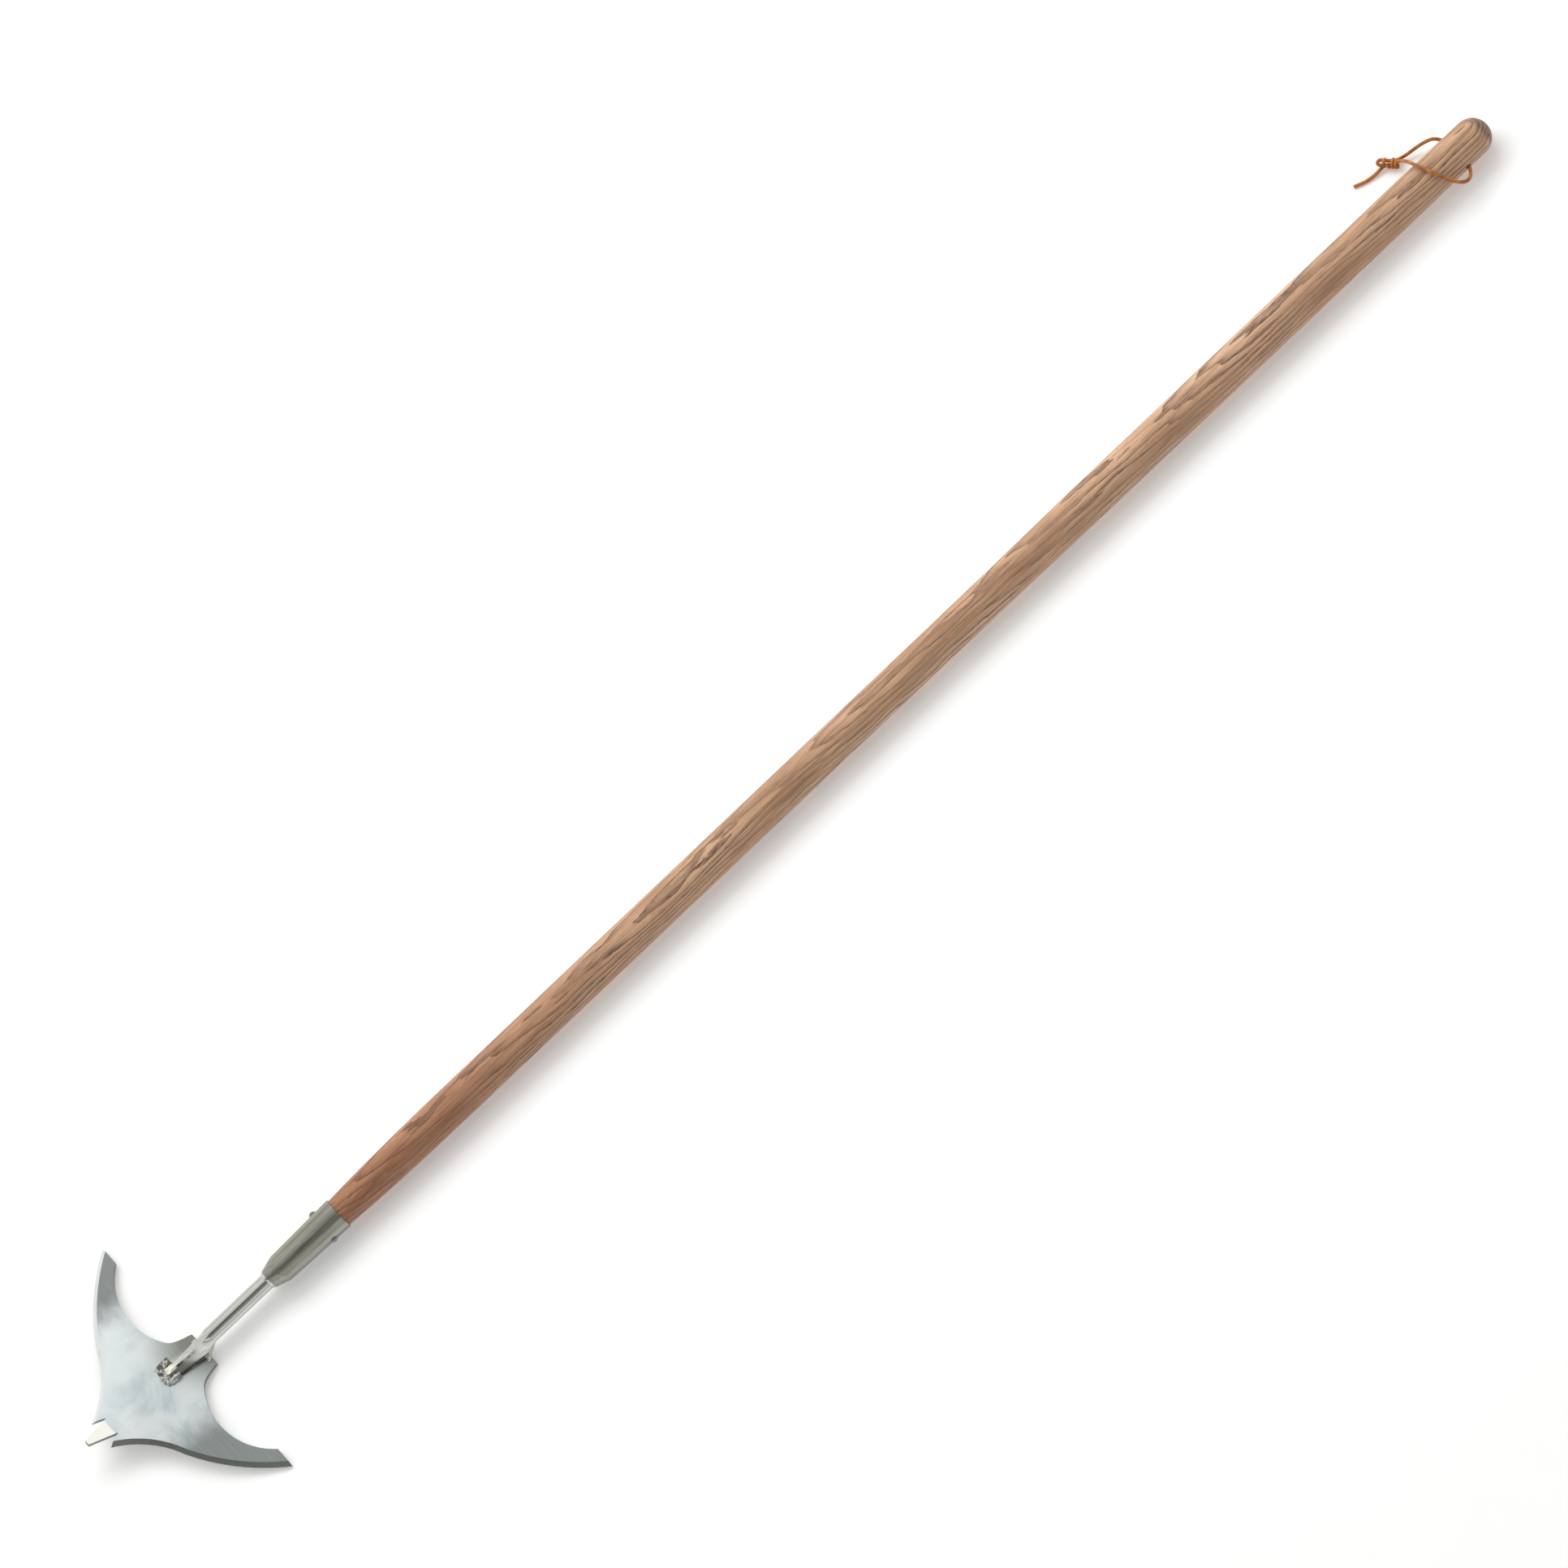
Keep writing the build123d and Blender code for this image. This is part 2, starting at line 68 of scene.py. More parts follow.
# ---- node helpers ----
class Nodes:
    """A short way to write a material's node tree."""

    def __init__(self, name):
        self.material = bpy.data.materials.new(name)
        self.material.use_nodes = True
        self.tree = self.material.node_tree
        self.shader = self.tree.nodes["Principled BSDF"]
        self.place = self.add("ShaderNodeTexCoord").outputs["Object"]

    def add(self, kind, **settings):
        node = self.tree.nodes.new(kind)
        for key, value in settings.items():
            setattr(node, key, value)
        return node

    def put(self, socket, value):
        if isinstance(value, bpy.types.NodeSocket):
            self.tree.links.new(value, socket)
        else:
            socket.default_value = value

    def maths(self, operation, *values, clamp=False):
        node = self.add("ShaderNodeMath", operation=operation, use_clamp=clamp)
        for socket, value in zip(node.inputs, values):
            self.put(socket, value)
        return node.outputs[0]

    def stretched(self, scale, place=None):
        """The place, scaled per axis, so that a pattern is drawn out along the axis of small scale."""
        node = self.add("ShaderNodeMapping")
        self.put(node.inputs["Vector"], place or self.place)
        node.inputs["Scale"].default_value = scale
        return node.outputs[0]

    def noise(self, vector, scale=1.0, detail=4.0, rough=0.5, distortion=0.0):
        node = self.add("ShaderNodeTexNoise")
        self.put(node.inputs["Vector"], vector)
        node.inputs["Scale"].default_value = scale
        node.inputs["Detail"].default_value = detail
        node.inputs["Roughness"].default_value = rough
        node.inputs["Distortion"].default_value = distortion
        return node.outputs["Fac"]

    def ramp(self, value, stops, interpolation="LINEAR"):
        node = self.add("ShaderNodeValToRGB")
        node.color_ramp.interpolation = interpolation
        elements = node.color_ramp.elements
        while len(elements) < len(stops):
            elements.new(0.5)
        for element, (position, colour) in zip(elements, stops):
            element.position = position
            element.color = (*colour, 1) if isinstance(colour, tuple) else (colour, colour, colour, 1)
        self.put(node.inputs["Fac"], value)
        return node.outputs["Color"]

    def between(self, value, low, high, to_low=0.0, to_high=1.0):
        node = self.add("ShaderNodeMapRange", interpolation_type="SMOOTHSTEP")
        for socket, number in zip(node.inputs, (value, low, high, to_low, to_high)):
            self.put(socket, number)
        return node.outputs[0]

    def mix(self, factor, first, second, blend="MIX"):
        node = self.add("ShaderNodeMix", data_type="RGBA", blend_type=blend)
        self.put(node.inputs["Factor"], factor)
        for socket, value in ((node.inputs["A"], first), (node.inputs["B"], second)):
            colour_socket = [s for s in node.inputs if s.type == "RGBA" and s.name == socket.name][0]
            self.put(colour_socket, (*value, 1) if isinstance(value, tuple) else value)
        return [s for s in node.outputs if s.type == "RGBA"][0]

    def bump(self, *layers):
        """Height layers of (height, depth in metres, strength), one over the other."""
        normal = None
        for height, depth, strength in layers:
            node = self.add("ShaderNodeBump")
            node.inputs["Distance"].default_value = depth
            node.inputs["Strength"].default_value = strength
            self.put(node.inputs["Height"], height)
            if normal:
                self.put(node.inputs["Normal"], normal)
            normal = node.outputs[0]
        self.put(self.shader.inputs["Normal"], normal)

    def set(self, **values):
        names = {"colour": "Base Color", "metal": "Metallic", "rough": "Roughness",
                 "specular": "Specular IOR Level", "coat": "Coat Weight", "coat_rough": "Coat Roughness",
                 "anisotropy": "Anisotropic", "sheen": "Sheen Weight"}
        for key, value in values.items():
            self.put(self.shader.inputs[names[key]], (*value, 1) if isinstance(value, tuple) else value)
        return self.material

    def axes(self):
        node = self.add("ShaderNodeSeparateXYZ")
        self.put(node.inputs[0], self.place)
        return node.outputs


# ---- materials ----
def ash_wood():
    """Brown-stained ash: wavy flat growth layers that run out of the handle at a slight slant."""
    n = Nodes("ash_handle")
    x, y, z = n.axes()
    wander = n.noise(n.stretched((6.5, 42, 42)), detail=3, rough=0.5)
    wobble = n.noise(n.stretched((34, 210, 210)), detail=3, rough=0.6)
    growth = n.maths("MULTIPLY_ADD", y, 0.30, n.maths("MULTIPLY", z, 0.95))
    growth = n.maths("MULTIPLY_ADD", x, 0.030, growth)
    growth = n.maths("MULTIPLY_ADD", wander, 0.0200, growth)
    growth = n.maths("MULTIPLY_ADD", wobble, 0.0022, growth)
    ring = n.maths("FRACT", n.maths("DIVIDE", growth, 0.0038))
    early = n.ramp(ring, [(0.0, 0.0), (0.05, 1.0), (0.20, 0.85), (0.42, 0.42), (0.70, 0.14), (1.0, 0.0)])
    pores = n.between(n.noise(n.stretched((110, 2300, 2300)), detail=3, rough=0.65), 0.47, 0.60)
    fibres = n.noise(n.stretched((22, 1150, 1150)), detail=5, rough=0.7)
    flecks = n.between(n.noise(n.stretched((160, 1500, 1500)), detail=2, rough=0.6), 0.60, 0.70)
    patches = n.noise(n.stretched((9, 46, 46)), detail=4, rough=0.6)
    depth = n.between(patches, 0.32, 0.62, 0.38, 1.0)
    dark = n.maths("MULTIPLY", early, n.maths("MULTIPLY_ADD", pores, 0.50, 0.55))
    dark = n.maths("MULTIPLY", dark, depth, clamp=True)
    dark = n.maths("MAXIMUM", dark, n.maths("MULTIPLY", n.maths("MULTIPLY", flecks, depth), 0.42))
    wood = n.mix(dark, (0.640, 0.385, 0.235), (0.060, 0.026, 0.014))
    streak_stops = [(0.30, (0.52, 0.46, 0.42)), (0.50, (1.0, 1.0, 1.0)), (0.70, (1.30, 1.34, 1.38))]
    streak = n.ramp(fibres, streak_stops)
    wood = n.mix(0.85, wood, streak, "MULTIPLY")
    tone = n.ramp(patches, [(0.32, (0.70, 0.64, 0.60)), (0.50, (1.0, 1.0, 1.0)), (0.68, (1.16, 1.20, 1.26))])
    wood = n.mix(0.9, wood, tone, "MULTIPLY")
    # redder and darker towards the socket, greyer on the end grain of the butt
    near_socket = n.between(x, MOUTH_X + 0.01, MOUTH_X + 0.42, 1.0, 0.0)
    wood = n.mix(n.maths("MULTIPLY", near_socket, 0.85), wood, (0.66, 0.48, 0.40), "MULTIPLY")
    ragged = n.maths("MULTIPLY_ADD", fibres, 0.004, x)
    end_grain = n.between(ragged, BUTT_X - 0.0095, BUTT_X - 0.0040)
    wood = n.mix(n.maths("MULTIPLY", end_grain, 0.85), wood, (0.36, 0.37, 0.40), "MULTIPLY")
    n.bump((dark, 0.00030, 0.8), (fibres, 0.00010, 0.6))
    rough = n.maths("MULTIPLY_ADD", dark, 0.20, n.maths("MULTIPLY_ADD", fibres, 0.14, 0.36))
    return n.set(colour=wood, rough=rough, specular=0.45)


def drawn_steel(name, colour, tint, rough, streak_depth, painted_foot_light=False):
    """Steel polished lengthwise: fine streaks along X, smudges, and slight dents; with painted light and
    shade on the foot's facets when asked.
    """
    n = Nodes(name)
    streaks = n.noise(n.stretched((9, 900, 900)), detail=5, rough=0.7)
    smudge = n.noise(n.stretched((45, 90, 90)), detail=4, rough=0.55)
    shade = n.mix(n.between(streaks, 0.32, 0.70), tint, colour)
    shade = n.mix(n.between(smudge, 0.35, 0.75, 0.0, 0.35), shade, tint)
    if painted_foot_light:
        # painted light and shade on the foot: its left facet, which faces the light, is painted bright, and
        # its right side, away from the light, is painted dark towards the toe
        leaning = n.add("ShaderNodeSeparateXYZ")
        n.put(leaning.inputs[0], n.add("ShaderNodeNewGeometry").outputs["True Normal"])
        x = n.axes()["X"]
        foot = n.between(x, HEEL.x + 0.006, HEEL.x - 0.001)
        left = n.maths("MULTIPLY", n.between(leaning.outputs["Y"], 0.15, 0.30), foot)
        toe = n.between(n.maths("MULTIPLY_ADD", smudge, 0.012, x), HEEL.x + 0.006, HEEL.x - 0.018)
        right = n.maths("MULTIPLY", n.between(leaning.outputs["Y"], -0.10, -0.30), toe)
        # painted highlight: the foot's facets that lean towards the light on the left are painted
        # cream-bright
        shade = n.mix(n.maths("MULTIPLY", left, 0.92), shade, (1.0, 0.97, 0.84))
        # painted shade: the foot's right side, turned away from the light, is painted dark towards the toe
        shade = n.mix(n.maths("MULTIPLY", right, 0.80), shade, (0.16, 0.15, 0.125))
    n.bump((streaks, 0.00006, streak_depth), (smudge, 0.0004, 0.12))
    gloss = n.maths("MULTIPLY_ADD", smudge, 0.16, rough - 0.08)
    gloss = n.maths("MULTIPLY_ADD", streaks, 0.10, n.maths("SUBTRACT", gloss, 0.05))
    return n.set(colour=shade, metal=1.0, rough=gloss, anisotropy=0.5)


def blade_steel():
    """Stainless plate: cloudy polish with fine scratches, and a coarser ground bevel in front; painted shade
    on its outer points and beside the foot, and painted highlights on its left and on the bent-up front
    part.
    """
    n = Nodes("blade_stainless")
    x, y = n.axes()["X"], n.axes()["Y"]
    cloud = n.noise(n.place, scale=26, detail=5, rough=0.55, distortion=0.6)
    haze = n.noise(n.stretched((120, 60, 60)), detail=4, rough=0.6)
    side = n.maths("ABSOLUTE", n.maths("SUBTRACT", y, 0.0125))
    # painted shade: the plate darkens towards its outer points, standing in for their turning away from the
    # light
    painted_horn_shade = n.between(n.maths("MULTIPLY_ADD", haze, 0.022, side), 0.058, 0.090)
    # painted shade and reflection: the plate is darkened beside the foot, where the foot's dark side is
    # mirrored in it
    near_foot = n.maths("MULTIPLY_ADD", side, -0.5, n.maths("MULTIPLY_ADD", cloud, 0.02, x))
    heel = n.between(near_foot, HEEL.x - 0.040, HEEL.x + 0.004)
    # painted highlight: a lighter band towards the plate's left and front, where the light is mirrored
    bright = n.between(n.maths("MULTIPLY_ADD", cloud, 0.05, n.maths("SUBTRACT", y, x)), 0.715, 0.800)
    steel = n.mix(n.between(cloud, 0.36, 0.64), (0.42, 0.50, 0.545), (0.68, 0.73, 0.73))
    steel = n.mix(n.maths("MULTIPLY", bright, 0.8), steel, (0.84, 0.90, 0.91))
    steel = n.mix(n.maths("MULTIPLY", painted_horn_shade, 0.92), steel, (0.25, 0.27, 0.265))
    steel = n.mix(n.maths("MULTIPLY", heel, 0.85), steel, (0.17, 0.175, 0.15))
    scratch_layers = []
    for turn, scale in ((0.35, 1500), (-0.9, 1900), (1.25, 1300)):
        mapping = n.add("ShaderNodeMapping")
        n.put(mapping.inputs["Vector"], n.place)
        mapping.inputs["Rotation"].default_value = (0, 0, turn)
        mapping.inputs["Scale"].default_value = (scale, 14, 14)
        fine = n.noise(mapping.outputs[0], detail=2, rough=0.5)
        scratch_layers.append(n.between(fine, 0.66, 0.74))
    scratches = n.maths("ADD", n.maths("ADD", scratch_layers[0], scratch_layers[1]), scratch_layers[2])
    # the bevel faces forward: its normal leans away from the plate's
    normal = n.add("ShaderNodeNewGeometry").outputs["True Normal"]
    facing = n.add("ShaderNodeVectorMath", operation="DOT_PRODUCT")
    n.put(facing.inputs[0], normal)
    facing.inputs[1].default_value = BLADE_NORMAL
    edge = n.between(facing.outputs["Value"], 0.80, 0.93, 1.0, 0.0)
    # painted highlight: the bent-up front part of the plate, leaning towards the light, is painted
    # cream-bright
    painted_tongue_highlight = n.maths("MULTIPLY", n.between(facing.outputs["Value"], 0.985, 0.978),
                     n.between(x, HEEL.x - 0.090, HEEL.x - 0.096))
    grit = n.noise(n.stretched((420, 420, 420)), detail=3, rough=0.7)
    leaning = n.add("ShaderNodeSeparateXYZ")
    n.put(leaning.inputs[0], normal)
    lit = n.between(leaning.outputs["Y"], 0.0, 0.35)
    ground = n.mix(grit, (0.16, 0.162, 0.150), (0.30, 0.303, 0.285))
    ground = n.mix(lit, ground, (0.80, 0.82, 0.80))
    steel = n.mix(n.maths("MULTIPLY", scratches, 0.18), steel, (0.95, 0.96, 0.97))
    steel = n.mix(n.maths("MULTIPLY", painted_tongue_highlight, 0.9), steel, (1.0, 0.98, 0.90))
    steel = n.mix(edge, steel, ground)
    rough = n.maths("MULTIPLY_ADD", cloud, 0.20, 0.17)
    rough = n.maths("MULTIPLY_ADD", painted_horn_shade, 0.06, rough)
    rough = n.maths("MULTIPLY_ADD", edge, 0.12, rough)
    n.bump((cloud, 0.0016, 0.35), (haze, 0.0003, 0.30), (scratches, 0.00003, 0.5),
           (n.maths("MULTIPLY", grit, edge), 0.0002, 0.5))
    return n.set(colour=steel, metal=1.0, rough=rough)


def weld_metal():
    """Weld: bright ripples, and a burnt granular skin on the left of the toe."""
    n = Nodes("weld_metal")
    x, y, z = n.axes()
    grain = n.noise(n.place, scale=1100, detail=4, rough=0.7)
    lumps = n.noise(n.place, scale=260, detail=3)
    burnt = n.between(n.noise(n.place, scale=170, detail=4, rough=0.6), 0.40, 0.56)
    on_left = n.between(n.maths("MULTIPLY_ADD", lumps, 0.004, y), -0.001, 0.003)
    on_toe = n.between(x, HEEL.x - 0.020, HEEL.x - 0.026)
    high = n.between(n.maths("MULTIPLY_ADD", lumps, 0.002, z), 0.0128, 0.0142)
    soot = n.maths("MULTIPLY", n.maths("MULTIPLY", on_left, on_toe), n.maths("MULTIPLY", burnt, high))
    metal = n.mix(grain, (0.50, 0.48, 0.45), (0.92, 0.90, 0.86))
    metal = n.mix(n.maths("MULTIPLY", n.between(lumps, 0.42, 0.34), 0.7), metal, (0.16, 0.145, 0.12))
    metal = n.mix(n.maths("MULTIPLY", soot, 0.9), metal, (0.10, 0.098, 0.085))
    n.bump((lumps, 0.0008, 0.5), (grain, 0.00030, 0.7))
    rough = n.maths("MULTIPLY_ADD", soot, 0.32, 0.18)
    return n.set(colour=metal, metal=1.0, rough=rough)


def lace_leather():
    """Waxed tan lace: darker in the creases, paler where it is stretched."""
    n = Nodes("lace_leather")
    tone = n.noise(n.place, scale=170, detail=4, rough=0.6)
    grain = n.add("ShaderNodeTexVoronoi", feature="DISTANCE_TO_EDGE")
    n.put(grain.inputs["Vector"], n.place)
    grain.inputs["Scale"].default_value = 2600
    creases = n.between(grain.outputs["Distance"], 0.0, 0.16)
    fine = n.noise(n.place, scale=1500, detail=3)
    leather = n.mix(n.between(tone, 0.32, 0.70), (0.36, 0.115, 0.026), (0.70, 0.270, 0.062))
    leather = n.mix(n.maths("MULTIPLY_ADD", creases, -0.35, 0.35), leather, (0.09, 0.028, 0.010))
    leather = n.mix(n.between(fine, 0.58, 0.75, 0.0, 0.35), leather, (0.78, 0.47, 0.22))
    n.bump((creases, 0.00010, 0.5), (tone, 0.0005, 0.35))
    rough = n.maths("MULTIPLY_ADD", tone, 0.20, 0.42)
    return n.set(colour=leather, rough=rough, specular=0.32)


# ---- mesh helpers ----
def keep(mesh_or_curve, name, material, body):
    """Puts a new piece into the scene on its body."""
    piece = bpy.data.objects.new(name, mesh_or_curve)
    scene.collection.objects.link(piece)
    piece.data.materials.append(material)
    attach(piece, body)
    return piece


def smooth(mesh, angle=40):
    mesh.shade_smooth()
    mesh.set_sharp_from_angle(angle=math.radians(angle))


def route_curve(name, route, diameter):
    """A round cord along a smooth line, with the route's points as its control points."""
    curve = bpy.data.curves.new(name, "CURVE")
    curve.dimensions = "3D"
    curve.bevel_depth = diameter / 2
    curve.bevel_resolution = 5
    curve.resolution_u = 14
    curve.use_fill_caps = True
    spline = curve.splines.new("NURBS")
    spline.points.add(len(route) - 1)
    for point, place in zip(spline.points, route):
        point.co = (*place, 1)
    spline.order_u = 3
    spline.use_endpoint_u = True
    return curve


def curve_mesh(curve):
    """The mesh of a curve."""
    holder = bpy.data.objects.new("holder", curve)
    scene.collection.objects.link(holder)
    evaluated = holder.evaluated_get(bpy.context.evaluated_depsgraph_get())
    mesh = bpy.data.meshes.new_from_object(evaluated)
    bpy.data.objects.remove(holder)
    return mesh


def joined(meshes, name):
    """Several meshes as one."""
    bm = bmesh.new()
    for mesh in meshes:
        bm.from_mesh(mesh)
    result = bpy.data.meshes.new(name)
    bm.to_mesh(result)
    bm.free()
    for mesh in meshes:
        bpy.data.meshes.remove(mesh)
    return result


# ---- the CAD pieces that keep their shape ----
materials = {
    "socket": drawn_steel("socket_steel", (0.44, 0.43, 0.38), (0.26, 0.255, 0.215), 0.36, 0.5),
    "rivet": drawn_steel("rivet_steel", (0.34, 0.335, 0.31), (0.16, 0.155, 0.14), 0.34, 0.6),
    "neck": drawn_steel("neck_steel", (0.72, 0.72, 0.69), (0.48, 0.48, 0.45), 0.17, 0.45, painted_foot_light=True),
    "blade": blade_steel(),
}
for node, material in materials.items():
    for material_slot in frame["nodes"][node].material_slots:
        material_slot.material = material
wood = ash_wood()
weld = weld_metal()
leather = lace_leather()
for material_slot in frame["nodes"]["socket_weld"].material_slots:
    material_slot.material = weld


# ---- the handle, turned more finely than the CAD's mesh ----
# Millimetres, and distances from the socket's mouth, as in part.py.
MOUTH_RADIUS = 12.75
TANG_SLOPE = 0.0272
SWELL_SLOPE = 0.0543
SWELL_END = 176
WAIST_RADIUS = 15.65
WAIST_END = 700
GRIP_START = 850
GRIP_RADIUS = 16.4
GRIP_END = 1180
BUTT_START = 1255
BUTT_RADIUS = 16
TANG_LENGTH = 62


def eased(start, end, place):
    """A smooth step from one radius to another."""
    share = (place - start[0]) / (end[0] - start[0])
    return start[1] + (end[1] - start[1]) * share * share * (3 - 2 * share)


def handle_radius(reach):
    """The handle's radius at a distance from the socket's mouth, in millimetres."""
    if reach < 0:
        return MOUTH_RADIUS + TANG_SLOPE * reach
    if reach < SWELL_END:
        share = reach / SWELL_END
        leaving = SWELL_SLOPE * reach * (1 - share) ** 2
        return MOUTH_RADIUS + leaving + (WAIST_RADIUS - MOUTH_RADIUS) * share * share * (3 - 2 * share)
    if reach < WAIST_END:
        return WAIST_RADIUS
    if reach < GRIP_START:
        return eased((WAIST_END, WAIST_RADIUS), (GRIP_START, GRIP_RADIUS), reach)
    if reach < GRIP_END:
        return GRIP_RADIUS
    if reach < BUTT_START:
        share = (reach - GRIP_END) / (BUTT_START - GRIP_END)
        return GRIP_RADIUS - (GRIP_RADIUS - BUTT_RADIUS) * share
    return math.sqrt(max(0, BUTT_RADIUS**2 - (reach - BUTT_START) ** 2))


def lathe(name, stations, radius, segments=96):
    """A closed mesh turned about the handle's axis."""
    bm = bmesh.new()
    rings = []
    for reach in stations:
        ring = []
        for step in range(segments):
            turn = 2 * math.pi * step / segments
            out = radius(reach) * MM
            place = (MOUTH_X + reach * MM, out * math.cos(turn), AXIS_Z + out * math.sin(turn))
            ring.append(bm.verts.new(place))
        rings.append(ring)
    for before, after in zip(rings, rings[1:]):
        for step in range(segments):
            following = (step + 1) % segments
            bm.faces.new((before[step], after[step], after[following], before[following]))
    bm.faces.new(list(reversed(rings[0])))
    bm.faces.new(rings[-1])
    bmesh.ops.recalc_face_normals(bm, faces=bm.faces)
    mesh = bpy.data.meshes.new(name)
    bm.to_mesh(mesh)
    bm.free()
    return mesh


def bored(mesh, centre, diameter, name):
    """The mesh with a hole across it, from side to side."""
    cutter_mesh = bpy.data.meshes.new("cutter")
    bm = bmesh.new()
    turn = Matrix.Translation(centre) @ Matrix.Rotation(math.radians(90), 4, "X")
    bmesh.ops.create_cone(bm, cap_ends=True, segments=48, radius1=diameter / 2, radius2=diameter / 2,
                          depth=0.08, matrix=turn)
    bm.to_mesh(cutter_mesh)
    bm.free()
    cutter = bpy.data.objects.new("cutter", cutter_mesh)
    solid = bpy.data.objects.new("solid", mesh)
    for item in (cutter, solid):
        scene.collection.objects.link(item)
    cut = solid.modifiers.new("hole", "BOOLEAN")
    cut.operation = "DIFFERENCE"
    cut.solver = "EXACT"
    cut.object = cutter
    result = bpy.data.meshes.new_from_object(solid.evaluated_get(bpy.context.evaluated_depsgraph_get()))
    result.name = name
    for item in (cutter, solid):
        bpy.data.objects.remove(item)
    return result


stations = [-TANG_LENGTH, -30, 0]
stations += [4 * step for step in range(1, 45)]
stations += [200 + 25 * step for step in range(20)]
stations += [WAIST_END + 5 * step for step in range(31)]
stations += [900, 1000, 1100, GRIP_END, 1200, 1225, 1240, BUTT_START]
CROWN = 15.98  # the last ring stops just short of the end, so that it isn't a point
stations += [BUTT_START + CROWN * math.sin(math.radians(3 * step)) for step in range(1, 31)]
handle_mesh = bored(lathe("turned", stations, handle_radius), HOLE, THONG_HOLE_DIA, "turned_handle")
rivet_x = (Vector(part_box("rivet")[0]).x + Vector(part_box("rivet")[1]).x) / 2
handle_mesh = bored(handle_mesh, (rivet_x, 0, AXIS_Z), RIVET_HOLE_DIA, "turned_handle")
handle_mesh.materials.clear()
smooth(handle_mesh, 50)
handle = keep(handle_mesh, "turned_handle", wood, "tool")
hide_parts("handle")


# ---- the welds between the foot and the blade ----
def on_blade(forward, right, up):
    """A place on the blade in metres, from millimetres forward of the heel, to the right, and up."""
    return HEEL + BLADE_FORWARD * forward * MM + Vector((0, -right * MM, 0)) + BLADE_NORMAL * up * MM


def lumpy(name, blobs, voxel, swell, source=None):
    """Blobs of weld melted into one skin, and made uneven by coarse lumps and finer pits."""
    bm = bmesh.new()
    if source:
        bm.from_mesh(source)
    for forward, right, up, size, flatness in blobs:
        shape = Matrix.Translation(on_blade(forward, right, up)) @ Matrix.Rotation(-BLADE_PITCH, 4, "Y")
        shape = shape @ Matrix.Diagonal((1, 1, flatness, 1))
        bmesh.ops.create_icosphere(bm, subdivisions=3, radius=size * MM, matrix=shape)
    mesh = bpy.data.meshes.new(name)
    bm.to_mesh(mesh)
    bm.free()
    holder = bpy.data.objects.new(name, mesh)
    scene.collection.objects.link(holder)
    melt = holder.modifiers.new("melt", "REMESH")
    melt.mode = "VOXEL"
    melt.voxel_size = voxel * MM
    soften = holder.modifiers.new("soften", "SMOOTH")
    soften.iterations = 3
    result = bpy.data.meshes.new_from_object(holder.evaluated_get(bpy.context.evaluated_depsgraph_get()))
    bpy.data.objects.remove(holder)
    result.name = name
    for vertex in result.vertices:
        rough = noise.noise(vertex.co * 420) + 0.5 * noise.noise(vertex.co * 1100)
        vertex.co += vertex.normal * rough * swell * MM
    result.shade_smooth()
    return result


toe_blobs = [
    (38.5, -11.0, 0.9, 1.9, 0.9), (40.0, -9.0, 0.8, 1.8, 0.9), (40.6, -6.6, 0.8, 1.8, 0.9),
    (41.0, -4.0, 0.8, 1.8, 0.9), (41.0, -1.6, 0.9, 2.0, 0.9), (40.4, 1.2, 1.4, 2.6, 1.0),
    (38.6, 3.6, 1.7, 2.7, 1.0), (36.2, 5.4, 1.2, 2.2, 1.0), (37.0, 2.0, 4.4, 2.3, 1.0),
    (36.0, 3.9, 3.6, 1.9, 1.0), (33.5, 5.4, 0.9, 1.7, 1.0), (36.0, -11.6, 0.9, 1.7, 0.9),
    (33.5, -11.0, 0.8, 1.5, 0.9),
]
toe_mesh = lumpy("toe_bead", toe_blobs, 0.32, 0.42, frame["nodes"]["toe_weld"].data)
toe_bead = keep(toe_mesh, "toe_bead", weld, "tool")
toe_mesh.materials.clear()
toe_mesh.materials.append(weld)
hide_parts("toe_weld")
heel_blobs = [
    (2.4, 9.6, 0.7, 2.1, 0.9), (3.6, 10.8, 0.4, 1.6, 0.8), (1.6, 8.4, 1.6, 1.3, 1.0),
    (2.6, -9.5, 0.6, 2.1, 0.9), (4.0, -9.9, 0.4, 1.5, 0.8),
]
heel_mesh = lumpy("heel_beads", heel_blobs, 0.26, 0.22)
heel_beads = keep(heel_mesh, "heel_beads", weld, "tool")
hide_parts("heel_weld")


# ---- the hanging thong ----
def from_hole(forward, left, up):
    """A place in metres from the hole: towards the blade, to the left, and up from the handle's axis."""
    return Vector((HOLE.x - forward, left, AXIS_Z + up))


HOLE_MOUTH = 0.0168
GROUND = 0.0016 - AXIS_Z
KNOT = from_hole(0.0415, 0.0386, 0.005 - AXIS_Z)
KNOT_UP = 0.005 - AXIS_Z
long_route = [
    (0, -HOLE_MOUTH, 0),
    (0.0030, -0.0232, 0.0003),
    (0.0110, -0.0256, 0.0022),
    (0.0190, -0.0196, 0.0104),
    (0.0250, -0.0087, 0.0186),
    (0.0300, 0.0046, 0.0203),
    (0.0328, 0.0182, 0.0132),
    (0.0348, 0.0275, 0.0022),
    (0.0365, 0.0336, KNOT_UP + 0.0016),
]
short_route = [
    (0, HOLE_MOUTH, 0),
    (0.0025, 0.0230, -0.0010),
    (0.0105, 0.0278, -0.0046),
    (0.0195, 0.0315, -0.0095),
    (0.0285, 0.0335, -0.0120),
    (0.0360, 0.0361, KNOT_UP - 0.0008),
]
tail_route = [
    (0.0440, 0.0401, KNOT_UP - 0.0005),
    (0.0520, 0.0400, 0.0030 - AXIS_Z),
    (0.0600, 0.0409, GROUND),
    (0.0675, 0.0427, GROUND),
    (0.0745, 0.0458, GROUND),
]


